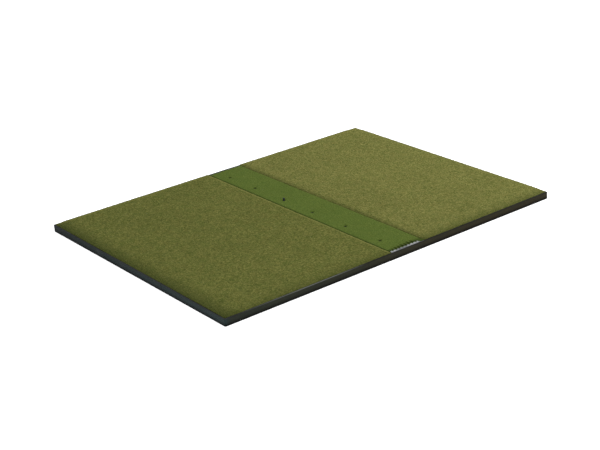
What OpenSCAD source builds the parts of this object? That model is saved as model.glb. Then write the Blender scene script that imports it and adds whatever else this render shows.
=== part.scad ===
// Centre-strip golf hitting mat: two stance panels on interlocking rubber base tiles,
// rubber edge rails all round, and a hitting strip that lifts out of a channel.
// Millimetres. +X runs along the long side, +Y from front to back, +Z up.
// The origin is the centre of the underside.

/* [Mat] */
// Length of the long sides
mat_w = 2438; // [2200:1:2700]
// Depth from the front edge to the back edge
mat_d = 1829; // [1600:1:2000]
// Height of the rubber edge rails
rail_h = 44.5; // [42:0.5:60]
// Thickness of the rails' upright wall, which is also the outer corner radius
rail_t = 8; // [6:1:12]

/* [Base tiles] */
// Thickness of the base tiles
tile_h = 20; // [18:1:24]
// Thickness of tile left under the hitting strip
channel_floor_h = 8; // [7:1:10]
// Depth of the drainage grooves in the underside
groove_depth = 3; // [2:0.5:4]
// Width of the drainage grooves
groove_w = 12; // [8:1:16]
// Radius of the round heads of the interlocking tabs
tab_head_r = 14; // [10:1:16]

/* [Stance panels] */
// Thickness of the foam underlay
pad_h = 13; // [8:1:15]
// Thickness of the turf's rubber backing
backing_h = 3; // [2:0.5:4]
// Length of the stance turf's pile
stance_pile_h = 10.5; // [8:0.5:14]

/* [Hitting strip] */
// Width of the hitting strip
strip_w = 250; // [200:1:320]
// Distance of the strip's centre line from the middle of the mat
strip_x = 68; // [-80:1:80]
// Gap between the strip and each stance panel
strip_gap = 3; // [1:0.5:6]
// Length of the hitting strip's pile
strip_pile_h = 11.5; // [9:0.5:12]
// Width of the metal bar at each end of the strip
end_bar_w = 20; // [14:1:30]
// Thickness of the metal end bars
end_bar_h = 3; // [2:0.5:4]
// Number of screws in each end bar
screw_count = 3; // [2:1:5]

/* [Tee holes] */
// Number of tee holes in a row along the strip
tee_hole_count = 6; // [2:1:6]
// Distance from one tee hole to the next
tee_pitch = 299; // [220:1:310]
// Distance of the tee holes' row from the strip's centre line, towards -X
tee_row_offset = 51; // [0:1:70]
// Distance of the middle of the row from the middle of the mat, towards the back
tee_row_shift = 38; // [0:1:50]
// Radius of the hole in a tee socket
tee_hole_r = 6; // [5:0.5:8]
// Height of the tee above the hitting surface
tee_stand = 11; // [8:1:60]
// Which hole holds the tee, counted from the front
tee_in_hole = 4; // [1:1:6]

/* [Hidden] */
eps = 0.01;
// Side of a whole base tile: three rows fill the mat's depth
tile = mat_d / 3;
// Lines between the tile columns and between the tile rows
col_x = [-mat_w / 2, strip_x - 1.5 * tile, strip_x - tile / 2, strip_x + tile / 2,
         strip_x + 1.5 * tile, mat_w / 2];
row_y = [-mat_d / 2, -tile / 2, tile / 2, mat_d / 2];
col_count = 5;
row_count = 3;
strip_col = 2;

// Edge rails: the foot is tucked under the rim of the tiles
rail_round_r = 3;
foot_w = 30;
foot_h = 4;
foot_clear = 0.2;
rim_clear = 0.5;

// Gap at each seam between two tiles or two rails
seam_gap = 0.4;

// Interlocking tabs
tab_reach = 20;
tab_neck_w = 14;
tab_clear = 0.4;
groove_pitch = 100;

// Stance stack
pad_z = tile_h;
stance_backing_z = pad_z + pad_h;
stance_pile_z = stance_backing_z + backing_h;
inner_x = mat_w / 2 - rail_t - rim_clear;
inner_y = mat_d / 2 - rail_t - rim_clear;
strip_left = strip_x - strip_w / 2;
strip_right = strip_x + strip_w / 2;

// Strip stack
board_h = 4;
board_z = channel_floor_h;
foam_z = board_z + board_h;
foam_h = 17;
strip_backing_z = foam_z + foam_h;
strip_pile_z = strip_backing_z + backing_h;
strip_top_z = strip_pile_z + strip_pile_h;
end_clear = 1;
strip_len = mat_d - 2 * rail_t - 2 * end_clear;
turf_len = strip_len - 2 * end_bar_w;
bar_z = strip_top_z - 0.5 - end_bar_h;

// Tee sockets
tee_x = strip_x - tee_row_offset;
// How far each hole is from its even place, as measured in the photo, good to about 10 mm
tee_nudge = [-11, 0, 16, 2, 8, -13];
tee_y = [for (i = [0 : tee_hole_count - 1])
         tee_row_shift + (i - (tee_hole_count - 1) / 2) * tee_pitch + tee_nudge[i]];
socket_wall = 3;
socket_floor_h = 2;
socket_top_z = strip_pile_z + 4;
socket_flange_r = 16;
socket_flange_h = 3;
socket_clear = 0.3;
turf_hole_r = tee_hole_r + socket_wall + socket_clear;

// Tee
tee_stem_r = tee_hole_r - 0.5;
tee_cup_r = 7;
tee_cup_h = 8;
tee_foot_z = foam_z + socket_floor_h;
tee_top_z = strip_top_z + tee_stand;

// Countersunk screws
screw_r = 2;
screw_head_r = 4;
screw_head_h = 2.2;
screw_len = 16;
screw_clear = 0.05;
screw_slot_w = 1;
screw_slot_h = 0.8;
screw_z = bar_z + end_bar_h;

$fn = 64;

// A box given by its lowest and highest corners
module span(low, high) {
    translate(low)
        cube(high - low);
}

// ---- Base tiles ----

// One interlocking tab that sticks out along +X from its own origin
module tab(clear = 0) {
    translate([-eps, -tab_neck_w / 2 - clear])
        square([tab_reach + eps, tab_neck_w + 2 * clear]);
    translate([tab_reach, 0])
        circle(r = tab_head_r + clear);
}

// Lowest and highest corner of a tile, without its tabs
function tile_low(c, r) = [max(col_x[c] + seam_gap / 2, -inner_x),
                           max(row_y[r] + seam_gap / 2, -inner_y)];
function tile_high(c, r) = [min(col_x[c + 1] - seam_gap / 2, inner_x),
                            min(row_y[r + 1] - seam_gap / 2, inner_y)];

// The two tabs on the side between tile (c, r) and its neighbour along +X or along +Y
module side_tabs(c, r, along_x, clear = 0) {
    low = tile_low(c, r);
    high = tile_high(c, r);
    mid = (low + high) / 2;
    quarter = (high - low) / 4;
    for (s = [-1, 1])
        if (along_x)
            translate([high[0], mid[1] + s * quarter[1]])
                tab(clear);
        else
            translate([mid[0] + s * quarter[0], high[1]])
                rotate(90)
                    tab(clear);
}

module tile_outline(c, r) {
    difference() {
        union() {
            translate(tile_low(c, r))
                square(tile_high(c, r) - tile_low(c, r));
            if (c < col_count - 1)
                side_tabs(c, r, true);
            if (r < row_count - 1)
                side_tabs(c, r, false);
        }
        if (c > 0)
            side_tabs(c - 1, r, true, tab_clear);
        if (r > 0)
            side_tabs(c, r - 1, false, tab_clear);
    }
}

// Drainage grooves under one tile, both ways, clear of its edges
module tile_grooves(c, r) {
    low = tile_low(c, r);
    high = tile_high(c, r);
    margin = foot_w + groove_pitch / 2;
    for (x = [low[0] + margin : groove_pitch : high[0] - margin])
        span([x - groove_w / 2, low[1] + margin / 2, -eps],
             [x + groove_w / 2, high[1] - margin / 2, groove_depth]);
    for (y = [low[1] + margin : groove_pitch : high[1] - margin])
        span([low[0] + margin / 2, y - groove_w / 2, -eps],
             [high[0] - margin / 2, y + groove_w / 2, groove_depth]);
}

// The space under the tiles' outer rim that the rails' feet fill
module foot_space() {
    reach_x = mat_w / 2 - rail_t - foot_w - foot_clear;
    reach_y = mat_d / 2 - rail_t - foot_w - foot_clear;
    top = foot_h + foot_clear;
    for (s = [0, 1]) {
        mirror([s, 0, 0])
            span([reach_x, -mat_d, -eps], [mat_w, mat_d, top]);
        mirror([0, s, 0])
            span([-mat_w, reach_y, -eps], [mat_w, mat_d, top]);
    }
}

module base_tile(c, r) {
    color([0.13, 0.13, 0.13])
        difference() {
            linear_extrude(tile_h)
                tile_outline(c, r);
            tile_grooves(c, r);
            foot_space();
            if (c == strip_col)
                span([strip_left - strip_gap, -mat_d, channel_floor_h],
                     [strip_right + strip_gap, mat_d, tile_h + 1]);
        }
}

// ---- Edge rails ----

// Section of the upright wall: 0 is its inner face and rail_t its outer face
module wall_section() {
    square([rail_t, rail_h - rail_round_r]);
    square([rail_t - rail_round_r, rail_h]);
    translate([rail_t - rail_round_r, rail_h - rail_round_r])
        circle(r = rail_round_r);
}

// Straight wall along +X from x0 to x1, with its outer face at y = -rail_t
module wall(x0, x1) {
    translate([x0, 0, 0])
        rotate([90, 0, 90])
            linear_extrude(x1 - x0)
                mirror([1, 0])
                    wall_section();
}

// Foot along +X from x0 to x1, behind the wall's inner face
module foot(x0, x1) {
    span([x0, 0, 0], [x1, foot_w, foot_h]);
}

// Rounded corner of the wall, for the lower left corner of a side that runs along +X
module wall_corner() {
    rotate(180)
        rotate_extrude(angle = 90)
            wall_section();
}

// One rail along a long side, with a corner at each outer end. side is -1 for the front
module long_rail(c, side) {
    wall_x0 = max(col_x[c] + seam_gap / 2, -mat_w / 2 + rail_t);
    wall_x1 = min(col_x[c + 1] - seam_gap / 2, mat_w / 2 - rail_t);
    color([0.16, 0.17, 0.15])
        mirror([0, side > 0 ? 1 : 0, 0])
            translate([0, -mat_d / 2 + rail_t, 0]) {
                wall(wall_x0, wall_x1);
                foot(wall_x0, wall_x1);
                if (c == 0)
                    translate([wall_x0, 0, 0])
                        wall_corner();
                if (c == col_count - 1)
                    translate([wall_x1, 0, 0])
                        mirror([1, 0, 0])
                            wall_corner();
            }
}

// One rail along a short side, between the long sides. side is -1 for the left
module short_rail(r, side) {
    wall_y0 = max(row_y[r], -mat_d / 2 + rail_t) + seam_gap / 2;
    wall_y1 = min(row_y[r + 1], mat_d / 2 - rail_t) - seam_gap / 2;
    foot_y0 = max(row_y[r], -mat_d / 2 + rail_t + foot_w) + seam_gap / 2;
    foot_y1 = min(row_y[r + 1], mat_d / 2 - rail_t - foot_w) - seam_gap / 2;
    color([0.17, 0.18, 0.16])
        mirror([side > 0 ? 1 : 0, 0, 0])
            translate([-mat_w / 2 + rail_t, 0, 0])
                mirror([1, 0, 0])
                    rotate(90) {
                        wall(wall_y0, wall_y1);
                        foot(foot_y0, foot_y1);
                    }
}

// ---- Stance panels ----

// A layer of a stance panel. side is -1 for the left panel
module stance_layer(side, z, h) {
    low_x = side < 0 ? -inner_x : strip_right + strip_gap;
    high_x = side < 0 ? strip_left - strip_gap : inner_x;
    span([low_x, -inner_y, z], [high_x, inner_y, z + h]);
}

module stance_pad(side) {
    color([0.10, 0.11, 0.12])
        stance_layer(side, pad_z, pad_h);
}

module stance_backing(side) {
    color([0.20, 0.21, 0.18])
        stance_layer(side, stance_backing_z, backing_h);
}

module stance_turf(side) {
    color([0.40, 0.41, 0.21])
        stance_layer(side, stance_pile_z, stance_pile_h);
}

// ---- Hitting strip ----

module tee_holes(r, z, h) {
    for (y = tee_y)
        translate([tee_x, y, z])
            cylinder(r = r, h = h);
}

// Places one child at each screw of an end bar. side is -1 for the front
module at_screws(side) {
    spacing = strip_w / screw_count;
    for (i = [0 : screw_count - 1])
        translate([strip_x + (i - (screw_count - 1) / 2) * spacing,
                   side * (strip_len - end_bar_w) / 2, screw_z])
            children();
}

// Countersunk screw with its head's top at the origin
module screw_shape(clear = 0) {
    translate([0, 0, -screw_head_h])
        cylinder(r1 = screw_r + clear, r2 = screw_head_r + clear, h = screw_head_h);
    translate([0, 0, -screw_len - clear])
        cylinder(r = screw_r + clear, h = screw_len - screw_head_h + clear);
}

// Stiff board that carries the whole strip
module strip_board() {
    color([0.09, 0.09, 0.10])
        span([strip_left, -strip_len / 2, board_z], [strip_right, strip_len / 2, foam_z]);
}

// Block at one end of the board that the end bar is screwed to
module strip_end_block(side) {
    y0 = side < 0 ? -strip_len / 2 : strip_len / 2 - end_bar_w;
    color([0.11, 0.11, 0.12])
        difference() {
            span([strip_left, y0, foam_z], [strip_right, y0 + end_bar_w, bar_z]);
            at_screws(side)
                screw_shape(screw_clear);
        }
}

module strip_foam() {
    color([0.30, 0.32, 0.36])
        difference() {
            span([strip_left, -turf_len / 2, foam_z], [strip_right, turf_len / 2, strip_backing_z]);
            tee_holes(turf_hole_r, foam_z - 1, foam_h + 2);
            tee_holes(socket_flange_r + socket_clear, foam_z - 1, socket_flange_h + socket_clear + 1);
        }
}

// A layer across the whole width of the strip, between the end bars
module strip_layer(z, h) {
    difference() {
        span([strip_left, -turf_len / 2, z], [strip_right, turf_len / 2, z + h]);
        tee_holes(turf_hole_r, z - 1, h + 2);
    }
}

module strip_backing() {
    color([0.16, 0.20, 0.13])
        strip_layer(strip_backing_z, backing_h);
}

module strip_turf() {
    color([0.34, 0.42, 0.18])
        strip_layer(strip_pile_z, strip_pile_h);
}

module strip_end_bar(side) {
    y0 = side < 0 ? -strip_len / 2 : strip_len / 2 - end_bar_w;
    color([0.66, 0.67, 0.69])
        difference() {
            span([strip_left, y0, bar_z], [strip_right, y0 + end_bar_w, bar_z + end_bar_h]);
            at_screws(side)
                screw_shape(screw_clear);
        }
}

module end_bar_screws(side) {
    color([0.75, 0.75, 0.76])
        at_screws(side)
            difference() {
                screw_shape();
                span([-screw_head_r, -screw_slot_w / 2, -screw_slot_h],
                     [screw_head_r, screw_slot_w / 2, 1]);
            }
}

// Blind rubber socket that stands on the board and holds a tee upright
module tee_socket(i) {
    color([0.12, 0.13, 0.12])
        translate([tee_x, tee_y[i], foam_z])
            difference() {
                union() {
                    cylinder(r = socket_flange_r, h = socket_flange_h);
                    cylinder(r = tee_hole_r + socket_wall, h = socket_top_z - foam_z);
                }
                translate([0, 0, socket_floor_h])
                    cylinder(r = tee_hole_r, h = socket_top_z);
            }
}

// Rubber tee with a flared cup for the ball
module tee() {
    stem_h = tee_top_z - tee_cup_h - tee_foot_z;
    color([0.08, 0.10, 0.20])
        translate([tee_x, tee_y[tee_in_hole - 1], tee_foot_z])
            difference() {
                union() {
                    cylinder(r = tee_stem_r, h = stem_h);
                    translate([0, 0, stem_h])
                        cylinder(r1 = tee_stem_r, r2 = tee_cup_r, h = tee_cup_h);
                }
                translate([0, 0, stem_h + 1])
                    cylinder(r1 = tee_stem_r - 3, r2 = tee_cup_r - 1, h = tee_cup_h);
            }
}

base_tile(0, 0);  // base_tile_front_1
base_tile(1, 0);  // base_tile_front_2
base_tile(2, 0);  // base_tile_front_3
base_tile(3, 0);  // base_tile_front_4
base_tile(4, 0);  // base_tile_front_5
base_tile(0, 1);  // base_tile_middle_1
base_tile(1, 1);  // base_tile_middle_2
base_tile(2, 1);  // base_tile_middle_3
base_tile(3, 1);  // base_tile_middle_4
base_tile(4, 1);  // base_tile_middle_5
base_tile(0, 2);  // base_tile_back_1
base_tile(1, 2);  // base_tile_back_2
base_tile(2, 2);  // base_tile_back_3
base_tile(3, 2);  // base_tile_back_4
base_tile(4, 2);  // base_tile_back_5
long_rail(0, -1);  // edge_rail_front_1
long_rail(1, -1);  // edge_rail_front_2
long_rail(2, -1);  // edge_rail_front_3
long_rail(3, -1);  // edge_rail_front_4
long_rail(4, -1);  // edge_rail_front_5
long_rail(0, 1);  // edge_rail_back_1
long_rail(1, 1);  // edge_rail_back_2
long_rail(2, 1);  // edge_rail_back_3
long_rail(3, 1);  // edge_rail_back_4
long_rail(4, 1);  // edge_rail_back_5
short_rail(0, -1);  // edge_rail_left_1
short_rail(1, -1);  // edge_rail_left_2
short_rail(2, -1);  // edge_rail_left_3
short_rail(0, 1);  // edge_rail_right_1
short_rail(1, 1);  // edge_rail_right_2
short_rail(2, 1);  // edge_rail_right_3
stance_pad(-1);  // stance_pad_left
stance_pad(1);  // stance_pad_right
stance_backing(-1);  // stance_backing_left
stance_backing(1);  // stance_backing_right
stance_turf(-1);  // stance_turf_left
stance_turf(1);  // stance_turf_right
strip_board();
strip_end_block(-1);  // strip_end_block_front
strip_end_block(1);  // strip_end_block_back
strip_foam();
strip_backing();
strip_turf();
strip_end_bar(-1);  // strip_end_bar_front
strip_end_bar(1);  // strip_end_bar_back
end_bar_screws(-1);  // end_bar_screws_front
end_bar_screws(1);  // end_bar_screws_back
tee_socket(0);  // tee_socket_1
tee_socket(1);  // tee_socket_2
tee_socket(2);  // tee_socket_3
tee_socket(3);  // tee_socket_4
tee_socket(4);  // tee_socket_5
tee_socket(5);  // tee_socket_6
tee();
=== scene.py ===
"""Golf hitting mat: the looks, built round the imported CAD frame. Metres, +Z up."""
import math

import bmesh
import bpy
import numpy as np
from mathutils import Matrix, Vector


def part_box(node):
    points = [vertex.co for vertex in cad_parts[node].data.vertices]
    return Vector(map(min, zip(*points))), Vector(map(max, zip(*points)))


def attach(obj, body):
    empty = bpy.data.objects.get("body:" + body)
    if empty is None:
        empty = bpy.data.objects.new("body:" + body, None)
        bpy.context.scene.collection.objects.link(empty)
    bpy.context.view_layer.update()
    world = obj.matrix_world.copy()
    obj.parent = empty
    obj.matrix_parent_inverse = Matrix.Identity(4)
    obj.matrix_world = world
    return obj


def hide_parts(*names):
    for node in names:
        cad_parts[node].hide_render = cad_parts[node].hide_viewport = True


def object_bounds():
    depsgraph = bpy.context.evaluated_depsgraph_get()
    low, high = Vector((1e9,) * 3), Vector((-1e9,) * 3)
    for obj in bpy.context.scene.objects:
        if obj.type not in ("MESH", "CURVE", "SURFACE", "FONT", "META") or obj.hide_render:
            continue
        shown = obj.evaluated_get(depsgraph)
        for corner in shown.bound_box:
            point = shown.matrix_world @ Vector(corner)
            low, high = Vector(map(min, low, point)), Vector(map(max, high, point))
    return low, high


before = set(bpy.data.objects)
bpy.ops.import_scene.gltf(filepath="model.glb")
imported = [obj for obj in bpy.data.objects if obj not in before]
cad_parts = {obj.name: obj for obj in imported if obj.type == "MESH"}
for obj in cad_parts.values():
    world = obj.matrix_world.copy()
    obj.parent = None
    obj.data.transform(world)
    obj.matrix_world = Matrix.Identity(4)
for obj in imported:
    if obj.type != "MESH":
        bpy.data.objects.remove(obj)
cad_low, cad_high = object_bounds()
MM = 0.001

# ---- Sizes that come from the frame ----

MAT_W = cad_high.x - cad_low.x
SOCKETS = sorted(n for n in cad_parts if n.startswith("tee_socket"))
RAILS = sorted(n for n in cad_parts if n.startswith("edge_rail"))


def centre_of(node):
    low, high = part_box(node)
    return (low + high) / 2


TEE_HOLES = [(centre_of(n).x, centre_of(n).y) for n in SOCKETS]
RAIL_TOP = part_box(RAILS[0])[1].z
BAR_LOW, BAR_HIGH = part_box("strip_end_bar_front")
BAR_TOP = BAR_HIGH.z

# The same as in the CAD source
RAIL_T = 8 * MM
FOOT_REACH = 30 * MM
FOOT_H = 4 * MM
SOCKET_TOP = 36 * MM
SOCKET_R = 9 * MM

# Edges of the bars and the foam that are sharper than this stay sharp in the shading
SHARP_ANGLE = math.radians(50)

# The pile: how big a tuft looks, how strong its tints are, the width of its tee holes,
# and how many yarn ends stand out of each turf
GRAIN_STANCE = 9 * MM
GRAIN_STRIP = 6 * MM
CONTRAST_STANCE = 0.58
CONTRAST_STRIP = 0.50
PILE_HOLE_R = 7 * MM
LOOSE_ENDS = 2200


# ---- Mesh tools ----

def mesh_object(name, points, faces):
    """A new smooth-shaded object from an (n, 3) array of points and a list or array of faces."""
    mesh = bpy.data.meshes.new(name)
    if isinstance(faces, np.ndarray):
        faces = faces.tolist()
    mesh.from_pydata(np.asarray(points, float).tolist(), [], faces)
    mesh.update()
    mesh.polygons.foreach_set("use_smooth", [True] * len(mesh.polygons))
    obj = bpy.data.objects.new(name, mesh)
    bpy.context.scene.collection.objects.link(obj)
    return obj


def face_outward(obj):
    """Turns every face of a closed mesh outward, and shades it smooth but for sharp edges."""
    work = bmesh.new()
    work.from_mesh(obj.data)
    bmesh.ops.recalc_face_normals(work, faces=work.faces)
    work.to_mesh(obj.data)
    work.free()
    obj.data.set_sharp_from_angle(angle=math.radians(40))
    return obj


def without_loose_points(obj):
    """Removes the points that no face uses, such as a grid's points inside a hole."""
    work = bmesh.new()
    work.from_mesh(obj.data)
    loose = [v for v in work.verts if not v.link_faces]
    bmesh.ops.delete(work, geom=loose, context="VERTS")
    work.to_mesh(obj.data)
    work.free()
    return obj


def blurred(field, sigma):
    """A random field smoothed over sigma cells, with its spread brought back to 1."""
    fy = np.fft.fftfreq(field.shape[0])[:, None]
    fx = np.fft.rfftfreq(field.shape[1])[None, :]
    pass_band = np.exp(-2 * (math.pi * sigma) ** 2 * (fx**2 + fy**2))
    soft = np.fft.irfft2(np.fft.rfft2(field) * pass_band, s=field.shape)
    return (soft - soft.mean()) / soft.std()


def wander(rng, count, sigma):
    """A smooth random line of count values with a spread of 1."""
    return blurred(rng.normal(size=(1, count + 4 * sigma)), sigma)[0, :count]


def grid_lines(low, high, step, fine=None, border=0.0):
    """Grid lines from low to high, closer together within border of both ends."""
    inner = max(2, round((high - low - 2 * border) / step))
    middle = np.linspace(low + border, high - border, inner + 1)
    if not border:
        return middle
    outer = max(1, round(border / fine))
    first = np.linspace(low, low + border, outer, endpoint=False)
    last = np.linspace(high - border, high, outer + 1)[1:]
    return np.concatenate([first, middle, last])


def flat_sheet(xs, ys, holes=(), hole_r=0.0):
    """A grid of quads, with a round hole at each place in holes.

    Returns points (n, 2), quads, and the grid's shape (rows, columns). The first
    rows x columns points are the grid's own, row by row along y.
    """
    points = [np.stack(np.meshgrid(xs, ys), -1).reshape(-1, 2)]
    index = np.arange(len(xs) * len(ys)).reshape(len(ys), len(xs))
    keep = np.ones((len(ys) - 1, len(xs) - 1), bool)
    extra, count = [], index.size
    for cx, cy in holes:
        i, j = int(np.abs(xs - cx).argmin()), int(np.abs(ys - cy).argmin())
        across = math.ceil(hole_r / (xs[i + 1] - xs[i])) + 3
        along = math.ceil(hole_r / (ys[j + 1] - ys[j])) + 2
        keep[j - along:j + along, i - across:i + across] = False
        rim = block_rim(index, i, j, across, along)
        rings, quads = hole_rings(points[0][rim], rim, (cx, cy), hole_r, count)
        points.append(rings)
        extra.append(quads)
        count += len(rings)
    a, b = index[:-1, :-1], index[:-1, 1:]
    c, d = index[1:, 1:], index[1:, :-1]
    quads = np.stack([a, b, c, d], -1)[keep]
    return np.concatenate(points), np.concatenate([quads, *extra]), index.shape


def block_rim(index, i, j, across, along):
    """The grid points round a block of cells, anticlockwise."""
    rows, cols = slice(j - along, j + along), slice(i - across, i + across)
    bottom = index[j - along, cols]
    right = index[rows, i + across]
    top = index[j + along, i - across + 1:i + across + 1][::-1]
    left = index[j - along + 1:j + along + 1, i - across][::-1]
    return np.concatenate([bottom, right, top, left])


def hole_rings(rim_points, rim, centre, radius, first, steps=3):
    """Rings of points from a square rim in to a circle, and the quads between them."""
    away = rim_points - centre
    circle = centre + away / np.linalg.norm(away, axis=1)[:, None] * radius
    n = len(rim)
    rings, quads, outer = [], [], rim
    for k in range(1, steps + 1):
        rings.append(rim_points + (circle - rim_points) * (k / steps))
        inner = first + (k - 1) * n + np.arange(n)
        quads.append(np.stack([outer, np.roll(outer, -1), np.roll(inner, -1), inner], -1))
        outer = inner
    return np.concatenate(rings), np.concatenate(quads)


def open_edges(quads):
    """Directed edges that only one quad uses, as pairs of point numbers."""
    edges = np.concatenate([quads[:, [k, (k + 1) % 4]] for k in range(4)])
    size = int(edges.max()) + 1
    forward = edges[:, 0] * size + edges[:, 1]
    backward = edges[:, 1] * size + edges[:, 0]
    return edges[~np.isin(forward, backward)]


class Rim:
    """The points along the open edges of a sheet, and which way is out at each."""

    def __init__(self, points, quads):
        self.edges = open_edges(quads)
        self.index = np.unique(self.edges)
        self.base = points[self.index]
        out = np.zeros_like(points)
        along = points[self.edges[:, 1]] - points[self.edges[:, 0]]
        away = np.stack([along[:, 1], -along[:, 0]], -1)
        away /= np.linalg.norm(away, axis=1)[:, None]
        np.add.at(out, self.edges[:, 0], away)
        np.add.at(out, self.edges[:, 1], away)
        self.out = out[self.index]
        self.out /= np.linalg.norm(self.out, axis=1)[:, None]
        low, high = points.min(0), points.max(0)
        self.sides = {"left": self.base[:, 0] == low[0], "right": self.base[:, 0] == high[0],
                      "front": self.base[:, 1] == low[1], "back": self.base[:, 1] == high[1]}
        self.hole = ~np.logical_or.reduce(list(self.sides.values()))

    def ring(self, shift, z):
        """The rim moved out by shift and set at height z."""
        xy = self.base + self.out * np.reshape(shift, (-1, 1))
        return np.column_stack([xy, np.broadcast_to(z, len(xy))])


def closed_solid(name, top, quads, rim, rings, floor=None):
    """A solid under the points of top, with walls through the rings of rim points.

    Its underside is one flat face, or a grid at the points of floor where there are holes.
    """
    coords, faces = [top], quads.tolist()
    upper, count = np.arange(len(top)), len(top)
    for ring in rings:
        lower = upper.copy()
        lower[rim.index] = count + np.arange(len(rim.index))
        coords.append(ring)
        faces += [[upper[b], upper[a], lower[a], lower[b]] for a, b in rim.edges]
        upper, count = lower, count + len(ring)
    if floor is None:
        follow = dict(rim.edges.tolist())
        loop, at = [], int(rim.edges[0, 0])
        while at not in loop[:1]:
            loop.append(at)
            at = follow[at]
        faces.append([int(upper[k]) for k in reversed(loop)])
    else:
        inside = np.setdiff1d(np.arange(len(top)), rim.index)
        low_z = np.full(len(inside), rings[-1][0, 2])
        coords.append(np.column_stack([floor[inside], low_z]))
        upper[inside] = count + np.arange(len(inside))
        faces += upper[quads[:, ::-1]].tolist()
    return without_loose_points(mesh_object(name, np.concatenate(coords), faces))


# ---- Materials ----

class Nodes:
    """A short way to write a material's node tree."""

    def __init__(self, name):
        self.material = bpy.data.materials.new(name)
        self.material.use_nodes = True
        self.tree = self.material.node_tree
        self.shader = self.tree.nodes["Principled BSDF"]
        self.coords = self.add("TexCoord").outputs["Object"]

    def add(self, kind, **settings):
        node = self.tree.nodes.new("ShaderNode" + kind)
        for key, value in settings.items():
            setattr(node, key, value)
        return node

    def link(self, source, target):
        self.tree.links.new(source, target)

    def fill(self, socket, value):
        if isinstance(value, bpy.types.NodeSocket):
            self.link(value, socket)
        else:
            socket.default_value = value

    def scaled(self, sx, sy, sz):
        """The object's coordinates, stretched."""
        node = self.add("Mapping")
        self.link(self.coords, node.inputs["Vector"])
        node.inputs["Scale"].default_value = (sx, sy, sz)
        return node.outputs["Vector"]

    def moved(self, dx, dy, dz):
        """The object's coordinates, shifted, so that two noises don't coincide."""
        node = self.add("Mapping")
        self.link(self.coords, node.inputs["Vector"])
        node.inputs["Location"].default_value = (dx, dy, dz)
        return node.outputs["Vector"]

    def noise(self, size, detail=2.0, roughness=0.5, coords=None):
        """Noise whose features are about size metres across."""
        node = self.add("TexNoise")
        self.link(coords or self.coords, node.inputs["Vector"])
        node.inputs["Scale"].default_value = 1 / size
        node.inputs["Detail"].default_value = detail
        node.inputs["Roughness"].default_value = roughness
        return node.outputs["Fac"]

    def cells(self, size, output="Color"):
        """Random cells about size metres across."""
        node = self.add("TexVoronoi")
        self.link(self.coords, node.inputs["Vector"])
        node.inputs["Scale"].default_value = 1 / size
        return node.outputs[output]

    def red(self, colour):
        node = self.add("SeparateColor")
        self.link(colour, node.inputs["Color"])
        return node.outputs["Red"]

    def axis(self, letter):
        """How far along X, Y or Z the point is."""
        node = self.add("SeparateXYZ")
        self.link(self.coords, node.inputs["Vector"])
        return node.outputs[letter]

    def ranged(self, value, from_low, from_high, to_low=0.0, to_high=1.0, curve="LINEAR"):
        """value brought from one range to another, and held at its ends."""
        node = self.add("MapRange", interpolation_type=curve)
        self.link(value, node.inputs["Value"])
        limits = (from_low, from_high, to_low, to_high)
        for key, limit in zip(("From Min", "From Max", "To Min", "To Max"), limits):
            node.inputs[key].default_value = limit
        return node.outputs["Result"]

    def mix(self, share, first, second):
        """first where share is 0, second where it is 1."""
        node = self.add("Mix", data_type="RGBA")
        self.fill(node.inputs["Factor"], share)
        self.fill(node.inputs["A"], first)
        self.fill(node.inputs["B"], second)
        return node.outputs["Result"]

    def sum(self, first, second, share):
        """first + share * second, for heights."""
        node = self.add("Math", operation="MULTIPLY_ADD")
        self.link(second, node.inputs[0])
        node.inputs[1].default_value = share
        self.link(first, node.inputs[2])
        return node.outputs["Value"]

    def bump(self, height, depth, strength=1.0):
        node = self.add("Bump")
        self.link(height, node.inputs["Height"])
        node.inputs["Distance"].default_value = depth
        node.inputs["Strength"].default_value = strength
        self.link(node.outputs["Normal"], self.shader.inputs["Normal"])

    def surface(self, **values):
        """Sets the shader's own sockets: Base_Color=..., Roughness=... and so on."""
        for key, value in values.items():
            self.fill(self.shader.inputs[key.replace("_", " ")], value)


def rgb(red, green, blue):
    return (red, green, blue, 1.0)


def grey(value):
    return rgb(value, value, value)


def dimmed(colour, share):
    return [c * share for c in colour[:3]] + [1.0]


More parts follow.
